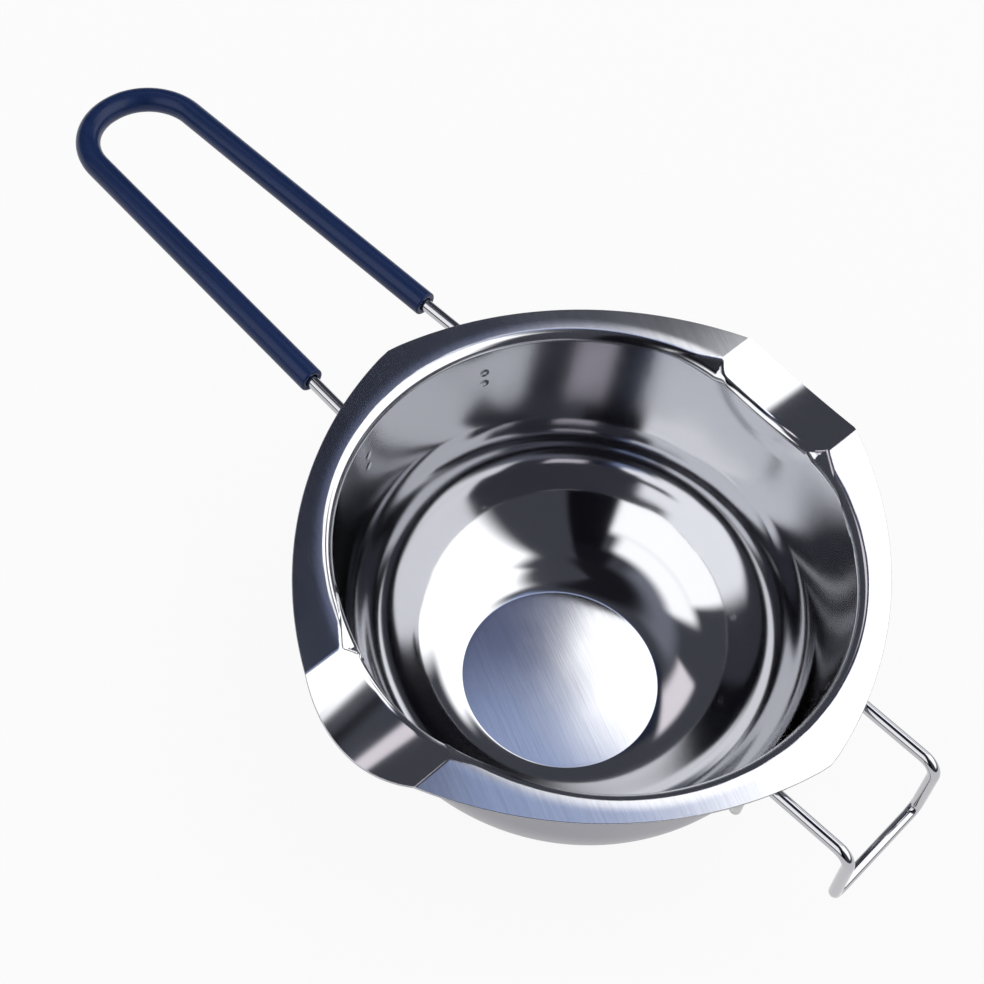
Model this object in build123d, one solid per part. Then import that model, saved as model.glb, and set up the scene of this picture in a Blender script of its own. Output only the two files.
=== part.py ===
from build123d import *
from math import acos, asin, atan2, cos, hypot, radians, sin, sqrt, tan
import os

# Candle wax melter: a pressed steel bowl with two pour spouts, a long wire handle with a soft
# sleeve, and a wire hook that hangs over the rim of the outer pan. Both wires are welded on.
# Millimetres. The origin is the centre of the base, on the surface it rests on, +Z up.
# +X points to the hook, -X to the handle, and the spouts are on +Y and -Y.

# ---------------------------------------------------------------- bowl: driving sizes
sheet = 0.7                    # thickness of the pressed sheet
bowl_depth = 65.3              # flange face down to the inner face of the flat base
rim_radius = 62.2              # inner wall, carried up to the flange face
rim_bend_radius = 2.5          # inside bend from the flange into the wall
bottom_round_radius = 39.0     # section of the round that leads from the wall to the base
bottom_round_depth = 26.7      # flange face down to the middle point of that round
base_radius = 25.7             # flat disc in the middle of the round bottom
base_bend_radius = 3.0

# flange outline, seen from above
tip_reach = 73.7               # where the long sides would meet over the handle and the hook
side_arc_radius = 103.0        # each long side of the outline, from a soft point to a spout
tip_rounding = 8.0
lip_reach = 78.1               # middle of a spout's lip
lip_corner_reach = 74.2        # ends of a spout's lip

# spouts
spout_offset = -0.9            # both spouts sit a little toward the handle
spout_half_width = 17.6        # between a spout's two parallel creases, halved
spout_corner_reach = 63.6      # inner ends of the two creases
spout_depth_at_lip = 5.7
spout_depth_at_wall = 4.5      # where the trough's floor meets the wall
neck_slope = 30.0              # degrees, the small slopes that lead from the rim into a spout
neck_run_in = 0.2              # the small slopes run out this far inside the wall's top edge

# ---------------------------------------------------------------- wires: driving sizes
handle_wire_diameter = 3.2
handle_end_reach = 186.0       # outermost point of the sleeved loop, from the bowl's axis
handle_root_half_width = 19.6
handle_end_half_width = 14.7
handle_loop_flat = 0.6         # straight stretch left at the end of the loop
handle_gap = 0.35              # air between the flange and the handle legs, at the wall
handle_droop = 2.0             # degrees, the handle falls away from the flange
handle_tail_bend_radius = 4.0
handle_tail_depth = 17.0       # flange face down to the cut ends, which follow the wall
handle_weld_depths = (9.8, 13.8)
sleeve_diameter = 6.4
sleeve_clearance = 0.2         # around the wire, inside the sleeve
sleeve_start_reach = 80.0      # cut ends of the sleeve, from the bowl's axis

hook_wire_diameter = 3.0
hook_turn = 2.7                # degrees, the hook is welded on a little off the handle's line
hook_knee_reach = 90.3         # where the hook turns down, from the bowl's axis
hook_bar_reach = 91.0          # middle of the cross bar
hook_half_width = 16.0         # between the two legs, halved
hook_bar_half_width = 15.7     # at the cross bar
hook_gap = 1.8                 # air between the flange and the hook legs
hook_bar_depth = 23.7          # flange face down to the middle of the cross bar
hook_knee_bend_radius = 4.2    # from a leg into its drop, on the wire's middle
hook_corner_bend_radius = 3.2  # from a drop into the cross bar
hook_tail_bend_radius = 3.0
hook_tail_depth = 23.2         # flange face down to the cut ends, which hang straight
hook_weld_depths = (7.5,)

wall_gap = 0.3                 # between a wire and the wall that it is welded to
weld_radius = 1.3              # each welded patch
weld_reach = 2.0               # from the middle of the sheet into the wire

# ---------------------------------------------------------------- places worked out from them
height = bowl_depth + sheet
handle_leg_depth = sheet + handle_gap + handle_wire_diameter / 2
hook_leg_depth = sheet + hook_gap + hook_wire_diameter / 2
round_middle_reach = base_radius - sqrt(bottom_round_radius**2 - (bowl_depth - bottom_round_depth) ** 2)
round_middle_run = rim_radius - round_middle_reach
wall_angle = atan2(round_middle_run, bottom_round_depth) - asin(
    bottom_round_radius / hypot(round_middle_run, bottom_round_depth)
)                              # the wall leans in this much and is tangent to the round
wall_slope = tan(wall_angle)
spout_wall_reach = rim_radius - wall_slope * spout_depth_at_wall
overcut = 12.0                 # how far a tool shape runs past what it cuts


def at_rim(shape):
    """Moves a shape that was drawn with the flange face at z = 0 to its place."""
    return Pos(0, 0, height) * shape


# ---------------------------------------------------------------- bowl
def cavity_profile():
    """Half section of the space inside the bowl, from its axis to the flange bend."""
    wall_foot = (
        round_middle_reach + bottom_round_radius * cos(wall_angle),
        -bottom_round_depth - bottom_round_radius * sin(wall_angle),
    )
    brim = rim_radius + rim_bend_radius * tan((radians(90) - wall_angle) / 2)
    with BuildSketch(Plane.XZ) as profile:
        with BuildLine():
            Polyline((0, overcut), (0, -bowl_depth), (base_radius, -bowl_depth))
            TangentArc(wall_foot, (base_radius, -bowl_depth), tangent=(-sin(wall_angle), -cos(wall_angle)))
            Polyline(wall_foot, (rim_radius, 0), (brim + sheet, 0), (brim + sheet, overcut), (0, overcut))
        make_face()
        for reach, depth, bend in (
            (base_radius, bowl_depth, base_bend_radius),
            (rim_radius, 0, rim_bend_radius),
        ):
            corner = profile.vertices().sort_by_distance((reach, -depth, 0))[0]
            fillet(corner, bend)
    return profile.sketch


def round_form(skin):
    """The turned part of the press form, grown outwards by skin."""
    profile = cavity_profile()
    if skin:
        profile = offset(profile, skin, kind=Kind.INTERSECTION)
    reach = rim_radius + overcut
    keep = Pos(reach / 2, 0, -bowl_depth / 2) * Rot(90, 0, 0) * Rectangle(reach, 2 * bowl_depth + overcut)
    return revolve(profile & keep, Axis.Z)


def spout_floor(skin):
    """Ends of the trough's floor line, (reach, height), from past the lip to inside the wall."""
    slope = (spout_depth_at_lip - spout_depth_at_wall) / (lip_reach - spout_wall_reach)
    sink = skin * hypot(1, slope)
    ends = (lip_reach + overcut, spout_wall_reach - overcut)
    return [(reach, -spout_depth_at_lip - slope * (reach - lip_reach) - sink) for reach in ends]


def spout_section(reach, floor, skin):
    """Upright section of a spout: a circle segment between the creases, carried above them."""
    depth = -floor - skin
    half_width = spout_half_width + skin * depth / spout_half_width
    radius = (half_width**2 + depth**2) / (2 * depth)
    middle = floor + radius
    half_chord = sqrt(radius**2 - (middle - rim_bend_radius) ** 2)
    with BuildSketch(Plane((0, reach, 0), x_dir=(1, 0, 0), z_dir=(0, -1, 0))) as section:
        with BuildLine():
            ThreePointArc((-half_chord, rim_bend_radius), (0, floor), (half_chord, rim_bend_radius))
            Line((half_chord, rim_bend_radius), (-half_chord, rim_bend_radius))
        make_face()
    return section.sketch


def spout_form(skin):
    """The trough of the spout on +Y, from past its lip to inside the wall."""
    return loft([spout_section(reach, floor, skin) for reach, floor in spout_floor(skin)], ruled=True)


def neck_outline(inset):
    """Plan of the small slopes that lead into the spout on +Y, tangent to the wall's top edge."""
    run_reach = rim_radius - neck_run_in
    sides = []
    for side in (1, -1):
        corner = (spout_offset + side * spout_half_width, spout_corner_reach)
        run_angle = atan2(corner[1], corner[0]) - side * acos(run_reach / hypot(*corner))
        sides.append([(run_reach * cos(run_angle), run_reach * sin(run_angle)), corner])
    outline = make_face(Polyline((0, 0), *sides[0], *sides[1][::-1], close=True))
    return offset(outline, -inset, kind=Kind.INTERSECTION) if inset else outline


def neck_form(skin):
    """The small slopes beside a spout, a shallow tapered block."""
    run = 1 / tan(radians(neck_slope))
    sink = skin / cos(radians(neck_slope))
    levels = (rim_bend_radius, -spout_depth_at_wall)
    faces = [Pos(0, 0, level - sink) * neck_outline(-level * run) for level in levels]
    return loft(faces, ruled=True)


def flange_outline(grow=0.0):
    """The flange seen from above: four long arcs, two soft points and two spout lips."""
    lip_bulge = lip_reach - lip_corner_reach
    lip_radius = (spout_half_width**2 + lip_bulge**2) / (2 * lip_bulge)
    with BuildSketch() as outline:
        with BuildLine():
            for x_side, y_side in ((1, 1), (-1, 1), (-1, -1), (1, -1)):
                turned = x_side * y_side
                RadiusArc(
                    (x_side * tip_reach, 0),
                    (spout_offset + x_side * spout_half_width, y_side * lip_corner_reach),
                    -turned * side_arc_radius,
                )
            for y_side in (1, -1):
                RadiusArc(
                    (spout_offset + spout_half_width, y_side * lip_corner_reach),
                    (spout_offset - spout_half_width, y_side * lip_corner_reach),
                    -y_side * lip_radius,
                )
        make_face()
        by_reach = outline.vertices().group_by(Axis.X)
        fillet(by_reach[0] + by_reach[-1], tip_rounding)
    return offset(outline.sketch, grow) if grow else outline.sketch


def press_form(skin):
    """Everything above the sheet's upper face, grown by skin: the bowl is the space between two."""
    slab = Pos(0, 0, -skin) * extrude(flange_outline(overcut), overcut)
    spout = Pos(spout_offset, 0, 0) * spout_form(skin) + neck_form(skin)
    return round_form(skin) + slab + spout + mirror(spout, about=Plane.XZ)


def make_bowl():
    blank = Pos(0, 0, -height) * extrude(flange_outline(), height)
    return at_rim((press_form(sheet) - press_form(0)) & blank)


# ---------------------------------------------------------------- wires
def wall_reach(side_offset, depth, stand_off):
    """How far out a point lies that is stand_off from the wall's outer face, at the given depth."""
    reach = rim_radius - wall_slope * depth + (sheet + stand_off) / cos(wall_angle)
    return sqrt(reach**2 - side_offset**2)


def swept_wire(path, diameter):
    section = Plane(path @ 0, z_dir=path % 0) * Circle(diameter / 2)
    return sweep(section, path)


def both_sides(half_path):
    """A wire's corner points: half_path on -Y from its cut end, then the same on +Y, backwards."""
    return half_path + [(x, -y, z) for x, y, z in half_path[::-1]]


def handle_path():
    """Middle line of the handle wire, from one cut end round the loop to the other."""
    stand_off = handle_wire_diameter / 2 + wall_gap
    root = handle_root_half_width
    root_reach = wall_reach(root, handle_leg_depth, stand_off)
    tail_reach = wall_reach(root, handle_tail_depth, stand_off)
    end_reach = handle_end_reach - sleeve_diameter / 2
    end_depth = handle_leg_depth + (end_reach - root_reach) * tan(radians(handle_droop))
    taper = atan2(root - handle_end_half_width, end_reach - root_reach)
    loop_bend = (handle_end_half_width - handle_loop_flat / 2) / tan((radians(90) - taper) / 2)
    half = [
        (-tail_reach, -root, -handle_tail_depth),
        (-root_reach, -root, -handle_leg_depth),
        (-end_reach, -handle_end_half_width, -end_depth),
    ]
    bends = [handle_tail_bend_radius, loop_bend]
    return FilletPolyline(*both_sides(half), radius=bends + bends[::-1])


def make_grip_sleeve():
    path = handle_path()
    tube = swept_wire(path, sleeve_diameter) - swept_wire(path, handle_wire_diameter + 2 * sleeve_clearance)
    length = handle_end_reach
    return tube & Pos(-sleeve_start_reach - length / 2, 0, 0) * Box(length, length, length)


def hook_path():
    """Middle line of the hook wire, before it is turned to its place."""
    contact_depth = hook_leg_depth + hook_tail_bend_radius
    tail_reach = wall_reach(hook_half_width, contact_depth, hook_wire_diameter / 2 + wall_gap)
    half = [
        (tail_reach, -hook_half_width, -hook_tail_depth),
        (tail_reach, -hook_half_width, -hook_leg_depth),
        (hook_knee_reach, -hook_half_width, -hook_leg_depth),
        (hook_bar_reach, -hook_bar_half_width, -hook_bar_depth),
    ]
    bends = [hook_tail_bend_radius, hook_knee_bend_radius, hook_corner_bend_radius]
    return FilletPolyline(*both_sides(half), radius=bends + bends[::-1])


def make_welds(half_width, depths, turn, wire):
    """Welded patches between a wire's two tails and the wall, filling the gap between them."""
    patches = []
    for side in (-1, 1):
        for depth in depths:
            reach = wall_reach(side * half_width, depth, -sheet / 2)
            heading = atan2(side * half_width, reach)
            outward = Vector(cos(wall_angle) * cos(heading), cos(wall_angle) * sin(heading), -sin(wall_angle))
            seat = Plane((reach, side * half_width, -depth), z_dir=outward)
            pin = Cylinder(weld_radius, weld_reach, align=(Align.CENTER, Align.CENTER, Align.MIN))
            patches.append(at_rim(Rot(0, 0, turn) * (seat * pin)) - wire - bowl)
    return Compound([solid for patch in patches for solid in patch.solids()])


bowl = make_bowl()
handle_wire = at_rim(swept_wire(handle_path(), handle_wire_diameter))
grip_sleeve = at_rim(make_grip_sleeve())
hook_wire = at_rim(Rot(0, 0, hook_turn) * swept_wire(hook_path(), hook_wire_diameter))
handle_welds = make_welds(handle_root_half_width, handle_weld_depths, 180, handle_wire)
hook_welds = make_welds(hook_half_width, hook_weld_depths, hook_turn, hook_wire)

os.makedirs("parts", exist_ok=True)
for name, shape in (
    ("bowl", bowl),
    ("handle_wire", handle_wire),
    ("grip_sleeve", grip_sleeve),
    ("hook_wire", hook_wire),
    ("handle_welds", handle_welds),
    ("hook_welds", hook_welds),
):
    export_step(shape, f"parts/{name}.step")
    print(name, len(shape.solids()), round(shape.volume, 1), shape.bounding_box())
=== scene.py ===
"""Candle wax melter: the looks of a pressed steel melting bowl with two pour spouts, its sleeved
wire handle and its wire pan hook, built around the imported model. Metres, +Z up."""

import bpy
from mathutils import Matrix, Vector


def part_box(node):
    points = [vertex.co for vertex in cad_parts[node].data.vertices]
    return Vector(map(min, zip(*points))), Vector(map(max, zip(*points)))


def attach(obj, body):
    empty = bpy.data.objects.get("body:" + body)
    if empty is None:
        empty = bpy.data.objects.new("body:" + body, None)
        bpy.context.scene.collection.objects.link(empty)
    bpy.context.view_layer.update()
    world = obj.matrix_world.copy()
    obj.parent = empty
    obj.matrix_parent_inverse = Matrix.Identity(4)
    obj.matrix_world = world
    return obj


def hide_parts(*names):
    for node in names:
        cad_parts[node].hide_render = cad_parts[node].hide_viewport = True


bl_info = {
    "name": "Candle wax melter",
    "version": (1, 0, 0),
    "blender": (4, 5, 0),
    "location": "3D View > Sidebar > Wax melter",
    "description": "Makes the bowl, its wires, the grip sleeve and a pale studio",
    "category": "Add Mesh",
}

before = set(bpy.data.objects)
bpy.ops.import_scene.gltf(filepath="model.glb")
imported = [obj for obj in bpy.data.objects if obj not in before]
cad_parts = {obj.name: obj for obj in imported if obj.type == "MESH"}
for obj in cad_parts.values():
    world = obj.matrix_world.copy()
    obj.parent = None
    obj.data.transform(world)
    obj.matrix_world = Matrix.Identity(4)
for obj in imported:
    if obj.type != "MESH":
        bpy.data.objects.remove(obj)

import math

import bpy
import numpy as np
from bpy.props import FloatProperty, FloatVectorProperty, IntProperty, PointerProperty
from mathutils import Matrix, Vector

MM = 0.001
_, LIP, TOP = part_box("bowl")[1]  # reach of the spouts' lips, level of the flange face
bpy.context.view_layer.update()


# ---------------- settings
def length(name, description, millimetres):
    size = millimetres * MM
    return FloatProperty(name=name, description=description, default=size, unit="LENGTH")


def angle(name, description, degrees):
    turn = math.radians(degrees)
    return FloatProperty(name=name, description=description, default=turn, unit="ROTATION")


def colour(name, description, rgb):
    return FloatVectorProperty(
        name=name, description=description, default=rgb, size=3, min=0, max=1, subtype="COLOR"
    )


def count(name, description, default, least):
    return IntProperty(name=name, description=description, default=default, min=least)


class MelterBowlSettings(bpy.types.PropertyGroup):
    sheet: length("Sheet", "Thickness of the pressed sheet", 0.7)
    rim_radius: length("Rim radius", "Inner wall, carried up to the flange face", 62.2)
    rim_bend: length("Rim bend", "From the flange into the wall", 2.5)
    bottom_round: length("Bottom round", "Section radius between wall and base", 39.0)
    round_depth: length("Round depth", "Flange face down to that round's middle", 26.7)
    flange_dip_reach: length("Flange dip reach", "Where the flange starts to bow in", 67.5)
    flange_dip_round: length("Flange dip round", "How gently the flange bows in", 50.0)
    base_radius: length("Base radius", "Flat disc in the bottom", 25.7)
    base_bend: length("Base bend", "Bend round the flat disc", 3.0)
    tip_reach: length("Tip reach", "Where the flange's long sides would meet", 73.7)
    tip_rounding: length("Tip rounding", "Radius of the flange's soft points", 8.0)
    side_arc: length("Side arc", "Radius of the flange's long sides", 103.0)
    lip_corner_reach: length("Lip corner reach", "Ends of a spout's lip", 74.2)
    spout_offset: length("Spout offset", "Both spouts sit toward the handle", -0.9)
    spout_half_width: length("Spout half width", "Between its creases, halved", 17.6)
    corner_reach: length("Spout corner reach", "Inner ends of its creases", 63.6)
    lip_depth: length("Lip depth", "Depth of the trough at the lip", 5.7)
    trough_depth: length("Trough depth", "Depth of the trough at the wall", 4.5)
    trough_bend: length("Trough bend", "From the trough's floor into the wall", 1.5)
    stretch_depth: length("Stretch depth", "How far down the wall is stretched", 14.5)
    stretch_fade: length("Stretch fade", "Width of the stretched place's edge", 5.0)
    stretch_size: length("Stretch size", "How far the wall is pushed out there", 0.22)
    neck_slope: angle("Neck slope", "Small slopes from the rim into a spout", 30.0)
    neck_run_in: length("Neck run-in", "Those slopes start inside the top edge", 0.2)
    crease: length("Crease", "Radius of the creases round a spout", 2.0)
    edge_rounding: length("Edge rounding", "How far the cut edge is broken", 0.18)
    columns: count("Columns", "Mesh columns along each long side", 54, 12)


class MelterWireSettings(bpy.types.PropertyGroup):
    handle_diameter: length("Handle wire", "Diameter of the handle wire", 3.2)
    handle_end_reach: length("Handle reach", "Bowl's axis to the end of the loop", 186.0)
    handle_root_half: length("Handle root", "Between the legs at the bowl, halved", 19.6)
    handle_end_half: length("Handle end", "Between the legs at the loop, halved", 14.7)
    handle_flat: length("Loop flat", "Straight stretch at the end of the loop", 0.6)
    handle_gap: length("Handle gap", "Air between the flange and the legs", 0.35)
    handle_droop: angle("Handle droop", "The handle falls away from the flange", 2.0)
    handle_tail_bend: length("Handle tail bend", "Bend from a leg down the wall", 4.0)
    handle_tail_depth: length("Handle tail depth", "Flange face to the cut ends", 17.0)
    sleeve_diameter: length("Sleeve", "Outer diameter of the grip sleeve", 6.4)
    sleeve_clearance: length("Sleeve clearance", "Air round the wire inside it", 0.2)
    sleeve_start: length("Sleeve start", "Bowl's axis to its cut ends", 80.0)
    sleeve_end_break: length("Sleeve end break", "How far its cut edges are broken", 0.35)
    hook_diameter: length("Hook wire", "Diameter of the hook wire", 3.0)
    hook_turn: angle("Hook turn", "The hook sits off the handle's line", 2.7)
    hook_knee_reach: length("Hook knee", "Bowl's axis to where it turns down", 90.3)
    hook_bar_reach: length("Hook bar", "Bowl's axis to the cross bar", 91.0)
    hook_half: length("Hook half width", "Between its two legs, halved", 16.0)
    hook_bar_half: length("Hook bar half width", "The same at the cross bar", 15.7)
    hook_gap: length("Hook gap", "Air between the flange and the legs", 1.8)
    hook_bar_depth: length("Hook bar depth", "Flange face to the cross bar", 23.7)
    hook_knee_bend: length("Hook knee bend", "From a leg into its drop", 4.2)
    hook_corner_bend: length("Hook corner bend", "From a drop into the bar", 3.2)
    hook_tail_bend: length("Hook tail bend", "From a leg into its tail", 3.0)
    hook_tail_depth: length("Hook tail depth", "Flange face to the cut ends", 23.2)
    wall_gap: length("Wall gap", "Between a wire and the wall", 0.3)
    end_break: length("End break", "How far a wire's cut ends are broken", 0.2)
    high_weld_depth: length("High weld", "Flange face to the handle's high welds", 9.8)
    low_weld_depth: length("Low weld", "Flange face to the handle's low welds", 13.8)
    hook_weld_depth: length("Hook weld", "Flange face to the hook's welds", 7.5)
    sides: count("Sides", "Faces round each wire", 28, 8)
    bend_steps: count("Bend steps", "Rings in each bend of a wire", 14, 3)
    sleeve_sides: count("Sleeve sides", "Faces round the sleeve", 36, 8)
    sleeve_bend_steps: count("Sleeve bend steps", "Rings in each of its bends", 40, 3)


class MelterFinishSettings(bpy.types.PropertyGroup):
    steel: colour("Bowl steel", "Polished stainless sheet", (0.61, 0.615, 0.64))
    # dark outer tone: partly the unpolished face, partly painted shade for the shaded floor it
    # reflects
    satin_steel_and_painted_shade: colour("Outer steel", "Unpolished outer face", (0.265, 0.262, 0.295))
    wire_steel: colour("Wire steel", "Bright drawn rod", (0.50, 0.50, 0.525))
    sleeve_navy: colour("Sleeve", "Soft navy sleeve", (0.006, 0.023, 0.100))
    weld_grey: colour("Weld", "Dull welded metal", (0.294, 0.287, 0.294))
    weld_straw: colour("Weld tint", "Heat tint on the welds", (0.50, 0.46, 0.40))
    grain_turn: angle("Grain turn", "Direction of the rolling grain, from +X", -21.0)
    polish: FloatProperty(
        name="Polish", description="Roughness of the polished steel", default=0.07, min=0, max=1
    )


class MelterStageSettings(bpy.types.PropertyGroup):
    view_azimuth: angle("View azimuth", "Camera's bearing from the bowl", -53.2)
    view_elevation: angle("View elevation", "How high the camera stands", 56.38)
    view_roll: angle("View roll", "Turn about the camera's line of sight", 11.44)
    view_distance: length("View distance", "From the aim point to the camera", 484.9)
    view_aim: FloatVectorProperty(
        name="View aim", description="Point that the camera looks at",
        default=(-0.0271, -0.0088, 0.066), size=3, subtype="TRANSLATION",
    )
    lens: FloatProperty(name="Lens", description="Focal length in millimetres", default=75.13)
    floor_colour: colour("Floor", "Pale floor", (0.86, 0.86, 0.87))
    window_level: FloatProperty(
        name="Window level", description="Brightness of the soft boxes", default=2.0
    )
    shell_radius: length("Shell radius", "Size of the studio shell", 2500.0)


# ---------------- small helpers
def linked(name, data):
    """A new object in the scene that shows the given mesh, lamp or camera."""
    made = bpy.data.objects.new(name, data)
    bpy.context.scene.collection.objects.link(made)
    return made


def mesh_object(name, vertices, faces, normals=None):
    """A smooth mesh object, with the given vertex normals where there are any."""
    mesh = bpy.data.meshes.new(name)
    mesh.from_pydata([tuple(v) for v in vertices], [], faces)
    mesh.polygons.foreach_set("use_smooth", [True] * len(mesh.polygons))
    if normals is not None:
        mesh.normals_split_custom_set_from_vertices([tuple(n) for n in normals])
    return linked(name, mesh)


def finish_piece(piece, replaced):
    """Tells the frame what a piece rides on, and hides the imported part that it stands for."""
    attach(piece, "root")
    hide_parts(replaced)


def normalised(vectors):
    return vectors / np.linalg.norm(vectors, axis=-1, keepdims=True)


# ---------------- bowl: turned part
FIRST_RING = 4 * MM  # radius of the first ring of faces round the disc's middle
WALL_STOP_DEPTH = 16 * MM  # below this depth the bowl is turned all the way round
DISC_ROWS, BASE_BEND_ROWS, ROUND_ROWS, LOW_WALL_ROWS = 6, 5, 44, 8


def line_points(start, end, rows):
    """A straight stretch of the half section, with the direction that faces the wax."""
    start, end = np.array(start), np.array(end)
    run = (end - start) / np.linalg.norm(end - start)
    steps = np.linspace(0, 1, rows)[:, None]
    facing = np.repeat([[-run[1], run[0]]], rows, axis=0)
    return start + (end - start) * steps, facing


def arc_points(centre, radius, first, last, rows):
    """An arc of the half section, which has the wax on its centre's side."""
    turns = np.linspace(first, last, rows)
    outward = np.column_stack([np.cos(turns), np.sin(turns)])
    return np.array(centre) + outward * radius, -outward


def round_middle(bowl):
    """How far the middle of the round's section stands from the bowl's axis."""
    drop = TOP - bowl.sheet - bowl.round_depth
    return bowl.base_radius - math.sqrt(bowl.bottom_round**2 - drop**2)


def wall_direction(bowl):
    """The wall's run in the half section, up and outwards, tangent to the round bottom."""
    run = bowl.rim_radius - round_middle(bowl)
    chord_turn = math.asin(bowl.bottom_round / math.hypot(run, bowl.round_depth))
    lean = math.atan2(run, bowl.round_depth) - chord_turn
    return Vector((math.sin(lean), math.cos(lean)))


def turned_section(bowl):
    """Half section of the inner face up to WALL_STOP_DEPTH, as radius and height over the
    flange face, with the direction at each point that faces the wax."""
    depth = TOP - bowl.sheet
    middle_r = round_middle(bowl)
    # the base bend is tangent to the disc and to the round, inside both
    base_z = -depth + bowl.base_bend
    rise = base_z + bowl.round_depth
    base_r = middle_r + math.sqrt((bowl.bottom_round - bowl.base_bend) ** 2 - rise**2)
    base_turn = math.atan2(rise, base_r - middle_r)
    wall = wall_direction(bowl)
    wall_turn = -math.atan2(wall.x, wall.y)
    wall_foot = (
        middle_r + bowl.bottom_round * math.cos(wall_turn),
        -bowl.round_depth + bowl.bottom_round * math.sin(wall_turn),
    )
    wall_stop = Vector((bowl.rim_radius, 0)) - wall * (WALL_STOP_DEPTH / wall.y)
    middle = (middle_r, -bowl.round_depth)
    pieces = [
        line_points((FIRST_RING, -depth), (base_r, -depth), DISC_ROWS),
        arc_points((base_r, base_z), bowl.base_bend, -math.pi / 2, base_turn, BASE_BEND_ROWS),
        arc_points(middle, bowl.bottom_round, base_turn, wall_turn, ROUND_ROWS),
        line_points(wall_foot, wall_stop, LOW_WALL_ROWS),
    ]
    pieces[1:] = [(points[1:], ways[1:]) for points, ways in pieces[1:]]
    return map(np.vstack, zip(*pieces))


# ---------------- bowl: spouts
LEAN_RANGE = (-0.5, 0.995)  # beyond it two faces are too near parallel for a bend
GRADIENT_STEP = 0.002 * MM
DOWN = np.array((0.0, 0.0, -1.0))


def joined(first, second, radius):
    """Two cavities as one, with a round bend between them. Each is a distance, negative in the
    cavity, with the direction in which it grows."""
    (first_gap, first_way), (second_gap, second_way) = first, second
    lean = np.clip((first_way * second_way).sum(-1), *LEAN_RANGE)
    from_first, from_second = radius - first_gap, radius - second_gap
    square = from_first**2 + from_second**2 - 2 * lean * from_first * from_second
    bend = radius - np.sqrt(np.maximum(square, 0) / (1 - lean**2))
    on_bend = (from_first > lean * from_second) & (from_second > lean * from_first)
    gap = np.where(on_bend, bend, np.minimum(first_gap, second_gap))
    return gap, np.where((first_gap < second_gap)[..., None], first_way, second_way)


def stacked(x, y, z):
    return np.stack(np.broadcast_arrays(x, y, z), axis=-1)


def raised(plan, z):
    """Plan points with their heights."""
    return np.concatenate([plan, z[..., None]], axis=-1)


def folded(points):
    """The points' x, y and z, with the side on -Y laid over the side on +Y."""
    return points[..., 0], np.abs(points[..., 1]), points[..., 2]


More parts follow.
